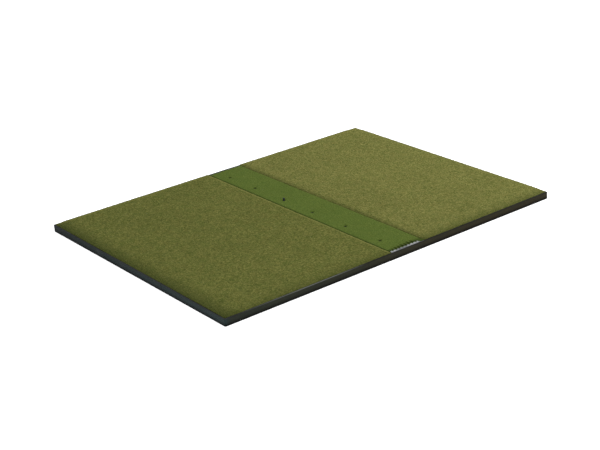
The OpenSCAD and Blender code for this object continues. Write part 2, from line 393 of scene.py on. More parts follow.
def pile_material(name, tones, top_z, pile, grain, contrast, shades=()):
    """Tufted yarn. tones are the base, light, brown and dark yarn colours.

    Each tuft has a tint of its own, tips are light and roots are painted darker as painted
    shade between the tufts. The edge shades are (axis, from, to, share, tone): painted shade
    and painted highlight along borders, where light falls away from or onto the rolled pile.
    """
    base, light, brown, dark = tones
    n = Nodes(name)
    tuft = n.red(n.cells(grain))
    fine = n.noise(grain / 2.5, detail=3)
    fibre = n.noise(1.3 * MM, detail=3, roughness=0.7)
    clump = n.noise(grain * 1.35, detail=2)
    gap = n.noise(grain * 1.15, detail=2, coords=n.moved(0.7, 0.3, 0.0))
    hue = n.noise(0.055, detail=3, coords=n.moved(0.2, 0.9, 0.0))
    patch = n.noise(0.30, detail=3)
    colour = n.mix(n.ranged(hue, 0.35, 0.65, 0, 0.5), base, brown)
    colour = n.mix(n.ranged(tuft, 0.25, 1, 0, contrast), colour, light)
    colour = n.mix(n.ranged(fine, 0.62, 0.35, 0, contrast), colour, dark)
    colour = n.mix(n.ranged(clump, 0.48, 0.66, 0, contrast), colour, light)
    colour = n.mix(n.ranged(gap, 0.48, 0.32, 0, contrast), colour, dark)
    colour = n.mix(n.ranged(patch, 0.45, 0.65, 0, 0.08), colour, dark)
    colour = n.mix(n.ranged(hue, 0.30, 0.70, 0.14, 0.0), colour, dark)
    # Painted shade and painted highlight along the borders, set by place
    for letter, start, end, share, tone in shades:
        fade = n.ranged(n.axis(letter), start, end, share, 0.0, "SMOOTHSTEP")
        colour = n.mix(fade, colour, tone)
    colour = n.mix(n.ranged(fibre, 0.50, 0.36, 0, 0.75), colour, dark)
    colour = n.mix(n.ranged(fibre, 0.53, 0.66, 0, 0.60), colour, light)
    # Painted shade: darker towards the roots, so dips, gaps and tee holes look shaded
    root = n.ranged(n.axis("Z"), top_z - pile, top_z - 0.15 * pile, 0.9, 0.0)
    colour = n.mix(root, colour, dimmed(dark, 0.5))
    n.surface(Base_Color=colour, Roughness=1.0, Specular_IOR_Level=0.05)
    n.bump(n.sum(fine, fibre, 0.7), 1.6 * MM, 0.8)
    return n.material


def rail_colour(n, smudge, streak):
    """Bluish on the left side and paler there towards the front, browner towards the right.

    The foot is painted darker, a painted shade towards the floor, and the lip is painted pale along
    part of the mat's left half, a painted highlight mixed with dust.
    """
    speck = n.noise(3 * MM, detail=2)
    round_corner = n.ranged(n.axis("X"), cad_low.x + RAIL_T, cad_low.x + 5 * RAIL_T)
    to_right = n.ranged(n.axis("X"), cad_low.x, cad_high.x * 0.6)
    to_back = n.ranged(n.axis("Y"), cad_low.y, cad_high.y)
    # Painted shade: the rubber gets darker towards the floor
    foot = n.ranged(n.axis("Z"), 2 * MM, 24 * MM, 0.9, 0.0)
    lip = n.ranged(n.axis("Z"), RAIL_TOP - 4.5 * MM, RAIL_TOP - 1 * MM, 0, 0.8)
    # Where the lip is painted pale: a painted highlight mixed with dust, rising from near the left
    # corner and fading towards the middle
    dusty_lip_highlight_start = n.ranged(n.axis("X"), cad_low.x + 0.069, cad_low.x + 0.539)
    dusty_lip_highlight_end = n.ranged(n.axis("X"), cad_low.x + 0.739, cad_low.x + 0.969)

    rubber = n.mix(to_back, rgb(0.0080, 0.0150, 0.0150), rgb(0.0020, 0.0048, 0.0045))
    rubber = n.mix(round_corner, rubber, rgb(0.0105, 0.0135, 0.0092))
    rubber = n.mix(to_right, rubber, rgb(0.0118, 0.0096, 0.0026))
    dust = n.mix(to_back, rgb(0.018, 0.029, 0.029), rgb(0.007, 0.012, 0.012))
    dust = n.mix(round_corner, dust, rgb(0.021, 0.024, 0.017))
    dust = n.mix(to_right, dust, rgb(0.026, 0.020, 0.008))
    # Pale lip tone: painted highlight mixed with dust
    worn = n.mix(dusty_lip_highlight_start, grey(0.012), rgb(0.115, 0.12, 0.11))
    worn = n.mix(dusty_lip_highlight_end, worn, grey(0.006))
    worn = n.mix(round_corner, grey(0.02), worn)

    colour = n.mix(n.ranged(smudge, 0.45, 0.75, 0, 0.6), rubber, dust)
    colour = n.mix(n.ranged(streak, 0.5, 0.75, 0, 0.4), colour, dust)
    colour = n.mix(n.ranged(speck, 0.62, 0.8, 0, 0.3), colour, dust)
    # Painted shade towards the floor
    colour = n.mix(foot, colour, grey(0.001))
    # Painted highlight mixed with dust along the lip
    return n.mix(lip, colour, worn)


def rail_material(name):
    """Extruded black rubber with fine draw lines and dust, a painted highlight on its lip and
    painted shade at its foot.
    """
    n = Nodes(name)
    smudge = n.noise(0.09, detail=5, roughness=0.65)
    streak = n.noise(6 * MM, detail=3, coords=n.scaled(0.06, 0.06, 1))
    skin = n.noise(1.5 * MM, detail=2)
    to_back = n.ranged(n.axis("Y"), cad_low.y, cad_high.y)
    foot = n.ranged(n.axis("Z"), 2 * MM, 26 * MM, 0.8, 0.0)
    shine = n.mix(to_back, grey(0.075), grey(0.053))
    shine = n.mix(foot, shine, grey(0.02))
    n.surface(Base_Color=rail_colour(n, smudge, streak), Specular_IOR_Level=n.red(shine))
    n.surface(Roughness=n.ranged(smudge, 0.3, 0.7, 0.5, 0.7))
    n.bump(n.sum(skin, streak, 1.0), 0.4 * MM, 0.5)
    return n.material


def granule_material(name):
    """Pressed rubber crumb with a few brown and grey grains in it."""
    n = Nodes(name)
    crumb = n.red(n.cells(4 * MM))
    colour = n.mix(n.ranged(crumb, 0.0, 0.9), grey(0.018), grey(0.05))
    colour = n.mix(n.ranged(crumb, 0.93, 0.95), colour, rgb(0.10, 0.075, 0.05))
    n.surface(Base_Color=colour, Roughness=0.9, Specular_IOR_Level=0.25)
    n.bump(n.cells(4 * MM, "Distance"), 0.8 * MM, 0.6)
    return n.material


def foam_material(name, tone):
    """Closed-cell foam: small pores and faint mottling."""
    n = Nodes(name)
    pore = n.cells(2.2 * MM, "Distance")
    blotch = n.noise(0.05, detail=4)
    colour = n.mix(n.ranged(blotch, 0.3, 0.7, 0, 0.5), tone, dimmed(tone, 1.5))
    colour = n.mix(n.ranged(pore, 0.25, 0.0, 0, 0.6), colour, dimmed(tone, 0.4))
    n.surface(Base_Color=colour, Roughness=0.85, Specular_IOR_Level=0.2)
    n.bump(pore, 0.5 * MM, 0.5)
    return n.material


def backing_material(name):
    """Woven backing cloth under a coat of latex.

    A wave of scale 1 repeats every 2 pi / 20 metres, which gives the scale for repeat.
    """
    n = Nodes(name)
    repeat = 6 * math.pi * MM
    warp = n.add("TexWave", bands_direction="X")
    weft = n.add("TexWave", bands_direction="Y")
    for wave in (warp, weft):
        n.link(n.coords, wave.inputs["Vector"])
        wave.inputs["Scale"].default_value = 2 * math.pi / (20 * repeat)
        wave.inputs["Distortion"].default_value = 0.6
    weave = n.mix(0.5, warp.outputs["Color"], weft.outputs["Color"])
    colour = n.mix(n.red(weave), grey(0.012), rgb(0.045, 0.048, 0.040))
    colour = n.mix(n.ranged(n.noise(0.04, 4), 0.5, 0.75, 0, 0.6), colour, grey(0.03))
    n.surface(Base_Color=colour, Roughness=0.75, Specular_IOR_Level=0.3)
    n.bump(n.red(weave), 0.6 * MM, 0.5)
    return n.material


def aluminium_material(name):
    """Satin aluminium, brushed along its length, dulled in patches and painted dark at its seam as
    painted shadow next to the rail.
    """
    n = Nodes(name)
    brush = n.noise(0.6 * MM, 2, coords=n.scaled(0.02, 1, 1))
    haze = n.noise(0.045, detail=3, coords=n.moved(0.37, 0.1, 0.0))
    bright = n.mix(n.ranged(brush, 0.3, 0.7), grey(0.24), rgb(0.29, 0.30, 0.305))
    dull = n.mix(n.ranged(brush, 0.3, 0.7), grey(0.12), rgb(0.16, 0.167, 0.17))
    colour = n.mix(n.ranged(haze, 0.42, 0.60, 0.4, 1.0), dull, bright)
    dull_from, dull_to, fade = BAR_LOW.x + 0.042, BAR_LOW.x + 0.122, 0.02
    colour = n.mix(n.ranged(n.axis("X"), dull_from, dull_from + fade), colour, dull)
    colour = n.mix(n.ranged(n.axis("X"), dull_to, dull_to + fade), colour, bright)
    seam = cad_low.y + RAIL_T
    # Painted shadow along the seam next to the front rail
    painted_seam_shadow = n.ranged(n.axis("Y"), seam + 1 * MM, seam + 8 * MM, 0.65, 0)
    colour = n.mix(painted_seam_shadow, colour, grey(0.03))
    n.surface(Base_Color=colour, Metallic=0.8, Specular_IOR_Level=0.3)
    n.surface(Roughness=n.ranged(haze, 0.3, 0.7, 0.6, 0.42))
    n.bump(brush, 0.15 * MM, 0.4)
    return n.material


def steel_material(name):
    """Turned steel with fine rings of gloss."""
    n = Nodes(name)
    turned = n.noise(0.8 * MM, detail=3)
    n.surface(Base_Color=n.mix(turned, grey(0.30), grey(0.50)), Metallic=1.0)
    n.surface(Roughness=n.ranged(turned, 0.3, 0.7, 0.3, 0.5))
    n.bump(turned, 0.1 * MM, 0.3)
    return n.material


def moulded_material(name, tone, worn, rough=0.55):
    """Moulded plastic or rubber with a fine skin and paler scuffs."""
    n = Nodes(name)
    skin = n.noise(1.0 * MM, detail=2)
    scuff = n.noise(0.02, detail=5, roughness=0.7)
    colour = n.mix(n.ranged(scuff, 0.55, 0.8, 0, 0.6), tone, worn)
    n.surface(Base_Color=colour, Specular_IOR_Level=0.3)
    n.surface(Roughness=n.ranged(scuff, 0.3, 0.7, rough - 0.08, rough + 0.12))
    n.bump(skin, 0.2 * MM, 0.5)
    return n.material


def floor_material():
    """A pale sweep that glows a little, so that shadows on it stay faint."""
    n = Nodes("studio_floor")
    n.surface(Base_Color=rgb(0.96, 0.96, 0.96), Roughness=1.0, Specular_IOR_Level=0.0)
    n.surface(Emission_Color=rgb(1.0, 1.0, 1.0), Emission_Strength=0.45)
    return n.material


def dress(obj, material):
    obj.data.materials.clear()
    obj.data.materials.append(material)
    for slot in obj.material_slots:
        slot.material = material
    return obj


def place(obj, body, slot, material, *replaced):
    """Makes a finished piece part of the object."""
    dress(obj, material)
    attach(obj, body)
    if replaced:
        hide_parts(*replaced)
    return obj


# ---- Edge rails ----

def rail_section():
    """The rail's section as (out from the wall's inner face, height), all the way round."""
    turn = [math.radians(a) for a in range(0, 91, 18)]
    crown = 3 * MM
    points = [(-FOOT_REACH, 0.4 * MM), (-FOOT_REACH + 0.4 * MM, 0), (0, 0), (RAIL_T - 1.2 * MM, 0)]
    points += [(RAIL_T - 0.3 * MM, 0.5 * MM), (RAIL_T, 1.5 * MM)]
    points += [(RAIL_T, RAIL_TOP * k / 5) for k in range(1, 5)]
    points += [(RAIL_T - crown + crown * math.cos(a), RAIL_TOP - crown + crown * math.sin(a))
               for a in turn]
    points += [(2 * MM, RAIL_TOP), (0.7 * MM, RAIL_TOP - 0.2 * MM), (0, RAIL_TOP - 0.9 * MM)]
    points += [(0, RAIL_TOP / 2), (0, FOOT_H), (-FOOT_REACH + 0.4 * MM, FOOT_H)]
    points += [(-FOOT_REACH, FOOT_H - 0.4 * MM)]
    return np.array(points)


def inset(section, amount):
    """The section drawn in from its own outline, for a softened end."""
    after = np.roll(section, -1, axis=0) - section
    before = section - np.roll(section, 1, axis=0)
    normal = [[-d[:, 1], d[:, 0]] / np.linalg.norm(d, axis=1) for d in (after, before)]
    return section + amount * (normal[0] + normal[1]).T / 2


def rail_path(start, end, corner_start, corner_end):
    """Stations along a rail: (place along, angle round a corner, foot or not, inset)."""
    soft = 0.7 * MM
    first, last = start, end
    stations = []
    if corner_start:
        first = start + RAIL_T
        stations += [(first, math.radians(a), False, 0) for a in range(-90, 0, 15)]
        stations += [(first, 0, False, 0), (first + 0.3 * MM, 0, True, 0)]
    else:
        stations += [(first, 0, True, soft), (first + soft, 0, True, 0)]
    if corner_end:
        last = end - RAIL_T
    places = np.linspace(first + 4 * MM, last - 4 * MM, round((last - first) / (12 * MM)))
    stations += [(float(s), 0, True, 0) for s in places]
    if corner_end:
        stations += [(last - 0.3 * MM, 0, True, 0), (last, 0, False, 0)]
        stations += [(last, math.radians(a), False, 0) for a in range(15, 91, 15)]
    else:
        stations += [(last - soft, 0, True, 0), (last, 0, True, soft)]
    return stations


def add_rail(name, rng, material):
    """One rail, swept along its side and round the mat's corner where it has one."""
    low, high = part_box(name)
    side = name.split("_")[2]
    along_x = side in ("front", "back")
    start, end = (low.x, high.x) if along_x else (low.y, high.y)
    at_start = along_x and low.x < cad_low.x + RAIL_T
    at_end = along_x and high.x > cad_high.x - RAIL_T
    faces_low = side in ("front", "left")
    inner = (cad_low.y if along_x else cad_low.x) + RAIL_T
    stations = rail_path(start, end, at_start, at_end)
    section = rail_section()
    sway = 0.35 * MM * wander(rng, len(stations), 6)
    settle = 0.35 * MM * wander(rng, len(stations), 8) + rng.uniform(-0.4, 0.4) * MM
    points = []
    for k, (s, angle, foot, drawn) in enumerate(stations):
        ring = inset(section, drawn) if drawn else section.copy()
        if not foot:
            ring[:, 0] = np.maximum(ring[:, 0], 0.6 * MM)
        high_share = ring[:, 1] / RAIL_TOP
        out = ring[:, 0] + sway[k] * high_share
        place_s = s + out * math.sin(angle)
        place_t = inner - out * math.cos(angle)
        z = ring[:, 1] + settle[k] * high_share**2
        if not faces_low:
            place_t = -place_t
        pair = (place_s, place_t) if along_x else (place_t, place_s)
        points.append(np.column_stack([*pair, z]))
    n, rings = len(section), len(stations)
    index = np.arange(n * rings).reshape(rings, n)
    ahead = np.roll(index, -1, axis=1)
    quads = np.stack([index[:-1], ahead[:-1], ahead[1:], index[1:]], -1).reshape(-1, 4)
    faces = quads.tolist() + [index[0].tolist(), index[-1][::-1].tolist()]
    rail = mesh_object(name.replace("edge_rail", "rail"), np.concatenate(points), faces)
    place(face_outward(rail), "base", "rail_rubber", material, name)


def add_rails():
    rng = np.random.default_rng(5)
    material = rail_material("rail_rubber")
    for name in RAILS:
        add_rail(name, rng, material)


# ---- Foam and backing ----

def soft_layer(name, node, rng, body, slot, material, step, edge, holes=(), hole_r=0.0):
    """A foam or backing layer with softened edges and a slightly uneven face."""
    low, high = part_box(node)
    border = 0.0 if holes else 3 * edge
    xs = grid_lines(low.x, high.x, step, edge, border)
    ys = grid_lines(low.y, high.y, step, edge, border)
    points, quads, shape = flat_sheet(xs, ys, holes, hole_r)
    rim = Rim(points, quads)
    top_z = np.full(len(points), high.z)
    grid = int(np.prod(shape))
    top_z[:grid] -= 0.25 * MM * (1 + np.tanh(blurred(rng.normal(size=shape), 2))).ravel()
    top = np.column_stack([points, top_z])
    ragged = 0.12 * edge * rng.normal(size=len(rim.index))
    top[rim.index, :2] -= rim.out * (edge * 0.9 + ragged)[:, None]
    rings = [rim.ring(-0.3 * edge + ragged, high.z - 0.3 * edge - 0.4 * MM),
             rim.ring(ragged * 0.5, high.z - edge - 0.3 * MM),
             rim.ring(ragged * 0.5, low.z + edge),
             rim.ring(-0.6 * edge, low.z)]
    layer = closed_solid(name, top, quads, rim, rings, points if holes else None)
    layer.data.set_sharp_from_angle(angle=SHARP_ANGLE)
    return place(layer, body, slot, material, node)


def add_layers():
    rng = np.random.default_rng(21)
    dark = foam_material("pad_foam", rgb(0.030, 0.032, 0.036))
    pale = foam_material("strip_foam", rgb(0.08, 0.09, 0.11))
    cloth = backing_material("latex_backing")
    for side in ("left", "right"):
        pad = soft_layer("foam_" + side, "stance_pad_" + side, rng, "base", "pad_foam",
                         dark, 24 * MM, 1.5 * MM)
        soft_layer("backing_" + side, "stance_backing_" + side, rng, "base", "turf_backing",
                   cloth, 20 * MM, 0.5 * MM)
    core = soft_layer("foam_strip", "strip_foam", rng, "strip", "strip_foam",
                      pale, 8 * MM, 1.2 * MM, TEE_HOLES, SOCKET_R + 7.4 * MM)
    soft_layer("backing_strip", "strip_backing", rng, "strip", "turf_backing",
               cloth, 6 * MM, 0.5 * MM, TEE_HOLES, SOCKET_R + 0.2 * MM)


# ---- Turf ----

def rolled(points, low, high, rolls):
    """How far the pile sinks along each side. rolls gives (drop, reach) for a side."""
    gaps = {"left": points[:, 0] - low.x, "right": high.x - points[:, 0],
            "front": points[:, 1] - low.y, "back": high.y - points[:, 1]}
    drop = np.zeros(len(points))
    for side, (amount, reach) in rolls.items():
        near = np.clip(1 - gaps[side] / reach, 0, 1)
        drop = np.maximum(drop, amount * near**1.7)
    return drop


def pile_surface(points, shape, low, high, rng, tuft, rolls, jitter, fixed):
    """The pile's top as 3-D points: uneven tufts and soft clumps, no grid showing."""
    grid = int(np.prod(shape))
    lift = np.zeros(len(points))
    single = rng.normal(size=shape)
    clumps = blurred(rng.normal(size=shape), 2.0)
    swell = blurred(rng.normal(size=shape), 30)
    lift[:grid] = (tuft * (0.8 * single + 0.45 * clumps) + 0.2 * MM * swell).ravel()
    lift[grid:] = tuft * rng.normal(size=len(points) - grid) * 0.5
    z = high.z - 1.5 * tuft + np.clip(lift, -3.0 * tuft, 1.5 * tuft)
    z -= rolled(points, low, high, rolls)
    moved = points + rng.uniform(-jitter, jitter, points.shape)
    moved[fixed] = points[fixed]
    return np.column_stack([moved, z])


def leans(rim, rng, amounts):
    """How far the pile leans out over each side. amounts gives (least, most) for a side."""
    lean = np.zeros(len(rim.index))
    for side, (least, most) in amounts.items():
        chosen = rim.sides[side]
        lean[chosen] = rng.uniform(least, most, int(chosen.sum()))
    return lean


def away_from_corner(rim, low, high, side):
    """How much of its lean the pile has: none at the panel's two outer corners, then all."""
    bare, whole = 25 * MM, 80 * MM
    across = rim.base[:, 0] - low.x if side == "left" else high.x - rim.base[:, 0]
    along = np.minimum(rim.base[:, 1] - low.y, high.y - rim.base[:, 1])
    return np.clip((np.maximum(across, along) - bare) / (whole - bare), 0, 1)


def blades(name, roots, tips, width):
    """Yarn ends: closed three-sided blades that bend and taper from root to tip."""
    along = tips - roots
    almost_none = (1e-9, 0, 0)  # so that an upright blade has a sideways direction too
    across = np.cross(along, (0.0, 0.0, 1.0)) + almost_none
    across /= np.linalg.norm(across, axis=1)[:, None]
    rise = np.cross(across, along)
    rise /= np.linalg.norm(rise, axis=1)[:, None]
    length = np.linalg.norm(along, axis=1)[:, None]
    middle = roots + 0.55 * along + 0.12 * length * rise
    corners = []
    for centre, radius in ((roots, 0.5), (middle, 0.42)):
        for angle in (90, 210, 330):
            turn = math.radians(angle)
            offset = across * math.cos(turn) + rise * math.sin(turn)
            corners.append(centre + offset * radius * width)
    points = np.stack([*corners, tips], 1).reshape(-1, 3)
    pattern = [(2, 1, 0), (0, 1, 4, 3), (1, 2, 5, 4), (2, 0, 3, 5), (3, 4, 6), (4, 5, 6), (5, 3, 6)]
    faces = [[7 * k + v for v in face] for k in range(len(roots)) for face in pattern]
    return face_outward(mesh_object(name, points, faces))


def fringe_ends(rim, top, rng, reach, rise, every):
    """Roots and tips of the yarn ends along a rim, leaning out over the side."""
    chosen = np.flatnonzero(~rim.hole)
    chosen = chosen[rng.random(len(chosen)) < every]
    out = np.column_stack([rim.out[chosen], np.zeros(len(chosen))])
    sideways = np.column_stack([-out[:, 1], out[:, 0], out[:, 2]])
    roots = top[rim.index[chosen]] - out * 2 * MM - (0, 0, 0.5 * MM)
    roots += sideways * rng.uniform(-2, 2, (len(chosen), 1)) * MM
    tips = roots + out * (2 * MM + rng.uniform(*reach, (len(chosen), 1)))
    tips += sideways * rng.uniform(-2.5, 2.5, (len(chosen), 1)) * MM
    tips[:, 2] += rng.uniform(*rise, len(chosen))
    return roots, tips


def clear_of_holes(points, shape):
    """The numbers of the grid's points that are well away from every tee hole."""
    clear = np.ones(int(np.prod(shape)), bool)
    for hole in TEE_HOLES:
        clear &= np.linalg.norm(points[:len(clear)] - hole, axis=1) > 22 * MM
    return np.flatnonzero(clear)


def loose_ends(top, among, rng, count, lean, rise):
    """Roots and tips of yarn ends that stand out of the pile here and there."""
    chosen = rng.choice(among, count, replace=False)
    roots = top[chosen] - (0, 0, 2.0 * MM)
    turn = rng.uniform(0, 2 * math.pi, count)
    away = rng.uniform(0.3, 1.0, count) * lean
    tips = roots + np.column_stack([away * np.cos(turn), away * np.sin(turn),
                                    2.0 * MM + rng.uniform(*rise, count)])
    return roots, tips


def add_yarn(name, edge, loose, width, body, slot, material):
    """One mesh of yarn ends: those along the rim, and those that stand out of the pile."""
    roots, tips = (np.concatenate(pair) for pair in zip(edge, loose))
    place(blades(name, roots, tips, width), body, slot, material)


def stance_turf(side, rng, material, rolls, lean_out):
    """One stance panel's pile, level over the rails, and the yarn ends that stand out of it."""
    node = "stance_turf_" + side
    low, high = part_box(node)
    xs = grid_lines(low.x, high.x, 5.5 * MM, 2.5 * MM, 25 * MM)
    ys = grid_lines(low.y, high.y, 5.5 * MM, 2.5 * MM, 25 * MM)
    points, quads, shape = flat_sheet(xs, ys)
    rim = Rim(points, quads)
    top = pile_surface(points, shape, low, high, rng, 0.85 * MM, rolls, 1.2 * MM, rim.index)
    rest = RAIL_TOP + 0.9 * MM
    strip_side = rim.sides["right" if side == "left" else "left"]
    top_z = np.where(strip_side, top[rim.index, 2], np.maximum(top[rim.index, 2], rest + 0.3 * MM))
    lean = leans(rim, rng, lean_out) * away_from_corner(rim, low, high, side)
    top[rim.index, 2] = top_z
    top[rim.index, :2] += rim.out * lean[:, None]
    below = np.minimum(top_z - 0.3 * MM, rest)
    rings = [rim.ring(lean * 0.8, below), rim.ring(0.1 * MM, below - 0.25 * MM),
             rim.ring(0.0, low.z)]
    turf = closed_solid("turf_" + side, top, quads, rim, rings)
    place(turf, "base", "stance_pile", material, node)
    edge = fringe_ends(rim, top, rng, (0.2 * MM, 3.2 * MM), (0.0, 1.8 * MM), 0.85)
    among = np.arange(np.prod(shape))
    loose = loose_ends(top, among, rng, LOOSE_ENDS, 5 * MM, (0.4 * MM, 2.4 * MM))
    add_yarn("yarn_" + side, edge, loose, 1.5 * MM, "base", "stance_pile", material)


def combed(x, low, high, rng):
    """How far the strip's last tufts reach at x, and how deep the gaps between them are.

    Both run from 0 to about 1. The gaps fade out towards the strip's left side.
    """
    count = 10
    share = (x - low.x) / (high.x - low.x) * count
    tooth = np.clip(np.round(share).astype(int), 0, count)
    slot = np.clip(share.astype(int), 0, count - 1)
    from_gap = np.abs(share - slot - 0.5)
    reach = np.clip(1 - ((0.5 - from_gap) / 0.28) ** 2, 0, 1) ** 0.5
    reach *= rng.uniform(0.65, 1.1, count + 1)[tooth]
    deep = rng.uniform(0.7, 1.0, count) * np.clip(np.linspace(0.25, 3.0, count), 0, 1)
    gap = np.clip(1.6 - from_gap / 0.2, 0, 1)
    return reach, gap * deep[slot]


def strip_top(points, shape, rim, xs, low, high, rng):
    """The top of the strip's pile, parted round the tee holes and combed at its ends.

    At the front the last tufts stand apart and reach over the bar, and at its right end
    they cover it. At the back they lie over the bar. Reaches are in millimetres.
    """
    right_lean, gap_length, gap_depth = 2.3 * MM, 32 * MM, 10.5 * MM
    tooth_reach, corner_reach = 13.5, 19.3
    hole_dip, dip_width = 6.0 * MM, 13 * MM
    rolls = {"left": (5.5 * MM, 15 * MM)}
    top = pile_surface(points, shape, low, high, rng, 0.5 * MM, rolls, 0.7 * MM, rim.index)
    reach, gap = combed(points[:, 0], low, high, rng)
    uneven = np.interp(points[:, 0], xs, wander(rng, len(xs), 3))
    near_front = np.clip(1 - (points[:, 1] - low.y) / (50 * MM), 0, 1)
    near_right = np.clip(3.3 - (high.x - points[:, 0]) / (13 * MM), 0, 1)
    near_back = np.clip(1 - (high.y - points[:, 1]) / (8 * MM), 0, 1)
    top[rim.index[rim.sides["right"]], 0] += right_lean
    gap *= 1 - near_right
    reach *= (tooth_reach + uneven) * (1 - near_right)
    comb = gap * gap_length - (reach + corner_reach * near_right) * MM
    flop = np.clip(15 + 2.2 * uneven, 9, 18.5) * MM
    top[:, 1] += comb * near_front + flop * near_back
    top[:, 2] -= gap * gap_depth * near_front**1.3
    for hole in TEE_HOLES:
        away = np.linalg.norm(points - hole, axis=1) - PILE_HOLE_R
        top[:, 2] -= hole_dip * np.clip(1 - away / dip_width, 0, 1) ** 1.4
    over_bar = (top[:, 1] > high.y) | (top[:, 1] < low.y)
    top[over_bar, 2] = np.maximum(top[over_bar, 2], BAR_TOP + 0.55 * MM)
    return top


def strip_turf(rng, material):
    """The hitting strip's pile, and the yarn ends that stand out of it."""
    low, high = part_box("strip_turf")
    xs = grid_lines(low.x, high.x, 2.75 * MM, 2.0 * MM, 12 * MM)
    ys = grid_lines(low.y, high.y, 3.8 * MM, 2.0 * MM, 24 * MM)
    points, quads, shape = flat_sheet(xs, ys, TEE_HOLES, PILE_HOLE_R)
    rim = Rim(points, quads)
    top = strip_top(points, shape, rim, xs, low, high, rng)
    place_strip_turf(top, points, quads, rim, low, material)
    edge = fringe_ends(rim, top, rng, (0.2 * MM, 1.6 * MM), (0.0, 0.8 * MM), 0.8)
    among = clear_of_holes(points, shape)
    loose = loose_ends(top, among, rng, LOOSE_ENDS, 4 * MM, (0.2 * MM, 1.6 * MM))
    add_yarn("yarn_strip", edge, loose, 1.2 * MM, "strip", "strip_pile", material)


def place_strip_turf(top, points, quads, rim, low, material):
    """Closes the strip's pile: walls below its lip, and room for the tee sockets."""
    wider = SOCKET_R + 0.15 * MM - PILE_HOLE_R
    top_z = top[rim.index, 2]
    lean = ((top[rim.index, :2] - rim.base) * rim.out).sum(axis=1)
    lean[rim.hole] = 0.0
    back_in = np.minimum(lean, 0.0)
    under = np.minimum(top_z - 0.25 * MM, BAR_TOP + 0.3 * MM)
    near = np.minimum(under - 0.1 * MM, BAR_TOP + 0.12 * MM)
    narrow = np.where(rim.hole, -0.3 * MM, back_in)
    wide = np.where(rim.hole, -wider, 0.8 * back_in)
    middle = np.minimum(near - 0.1 * MM, SOCKET_TOP + 0.6 * MM)
    lower = np.minimum(middle - 0.1 * MM, SOCKET_TOP + 0.3 * MM)
    rings = [rim.ring(lean * 0.93, under), rim.ring(np.minimum(lean, 0.05 * MM), near),
             rim.ring(narrow, middle), rim.ring(wide, lower), rim.ring(wide, low.z)]
    turf = closed_solid("turf_strip", top, quads, rim, rings, points)
    place(turf, "strip", "strip_pile", material, "strip_turf")


def add_left_turf():
    low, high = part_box("stance_turf_left")
    base, light = rgb(0.0831, 0.0992, 0.017), rgb(0.1883, 0.183, 0.0505)
    brown, dark = rgb(0.1108, 0.0904, 0.0208), rgb(0.0178, 0.0264, 0.0033)
    # Painted shade along the left and front borders and in the gap by the strip; painted highlight
    # along the back border and the strip side
    shades = (("X", low.x, low.x + 0.14, 0.72, dark), ("Y", low.y, low.y + 0.11, 0.33, dark),
              ("Y", low.y, low.y + 0.04, 0.15, dark), ("X", low.x, low.x + 0.04, 0.28, dark),
              ("Y", high.y, high.y - 0.03, 0.35, light),
              ("X", high.x - 0.003, high.x - 0.018, 0.65, light),
              ("X", high.x, high.x - 0.004, 0.80, dark))
    material = pile_material("pile_left", (base, light, brown, dark), high.z, high.z - low.z,
                             GRAIN_STANCE, CONTRAST_STANCE, shades)
    rolls = {"left": (1.2 * MM, 12 * MM), "front": (0.9 * MM, 10 * MM), "right": (1.5 * MM, 5 * MM)}
    lean_out = {"left": (0.0, 1.2 * MM), "front": (2.5 * MM, 4.5 * MM),
                "back": (7.5 * MM, 10.5 * MM), "right": (0.0, 0.4 * MM)}
    stance_turf("left", np.random.default_rng(11), material, rolls, lean_out)


def add_right_turf():
    low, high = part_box("stance_turf_right")
    base, light = rgb(0.1052, 0.1153, 0.0229), rgb(0.2326, 0.2184, 0.0677)
    brown, dark = rgb(0.1396, 0.1119, 0.0284), rgb(0.0243, 0.0341, 0.0044)
    # Painted shade along the strip side and the front border; painted highlight along the back and
    # right borders
    shades = (("X", low.x, low.x + 0.055, 0.52, dark), ("Y", low.y, low.y + 0.11, 0.48, dark),
              ("Y", low.y, low.y + 0.04, 0.15, dark), ("Y", high.y, high.y - 0.03, 0.28, light),
              ("X", high.x, high.x - 0.03, 0.20, light))
    material = pile_material("pile_right", (base, light, brown, dark), high.z, high.z - low.z,
                             GRAIN_STANCE, CONTRAST_STANCE, shades)
    rolls = {"left": (1.6 * MM, 22 * MM), "front": (0.9 * MM, 10 * MM)}
    lean_out = {"right": (6.5 * MM, 9.5 * MM), "front": (2.5 * MM, 4.5 * MM),
                "back": (7.5 * MM, 10.5 * MM), "left": (0.1 * MM, 0.4 * MM)}
    stance_turf("right", np.random.default_rng(12), material, rolls, lean_out)


def add_strip_turf():
    low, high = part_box("strip_turf")
    base, light = rgb(0.0707, 0.1048, 0.0175), rgb(0.119, 0.1527, 0.0312)
    brown, dark = rgb(0.073, 0.0911, 0.0154), rgb(0.0225, 0.0399, 0.0042)
    # edge is the tone for painted shade: in the gap at the left side and behind the front bar; the
    # right side gets a painted highlight
    edge = dimmed(dark, 0.5)
    shades = (("X", low.x, low.x + 0.018, 0.95, edge), ("X", high.x, high.x - 0.012, 0.30, light),
              ("Y", low.y + 0.012, low.y + 0.038, 0.68, edge))
    material = pile_material("pile_strip", (base, light, brown, dark), high.z, high.z - low.z,
                             GRAIN_STRIP, CONTRAST_STRIP, shades)
    strip_turf(np.random.default_rng(13), material)


# ---- End bars and tee ----

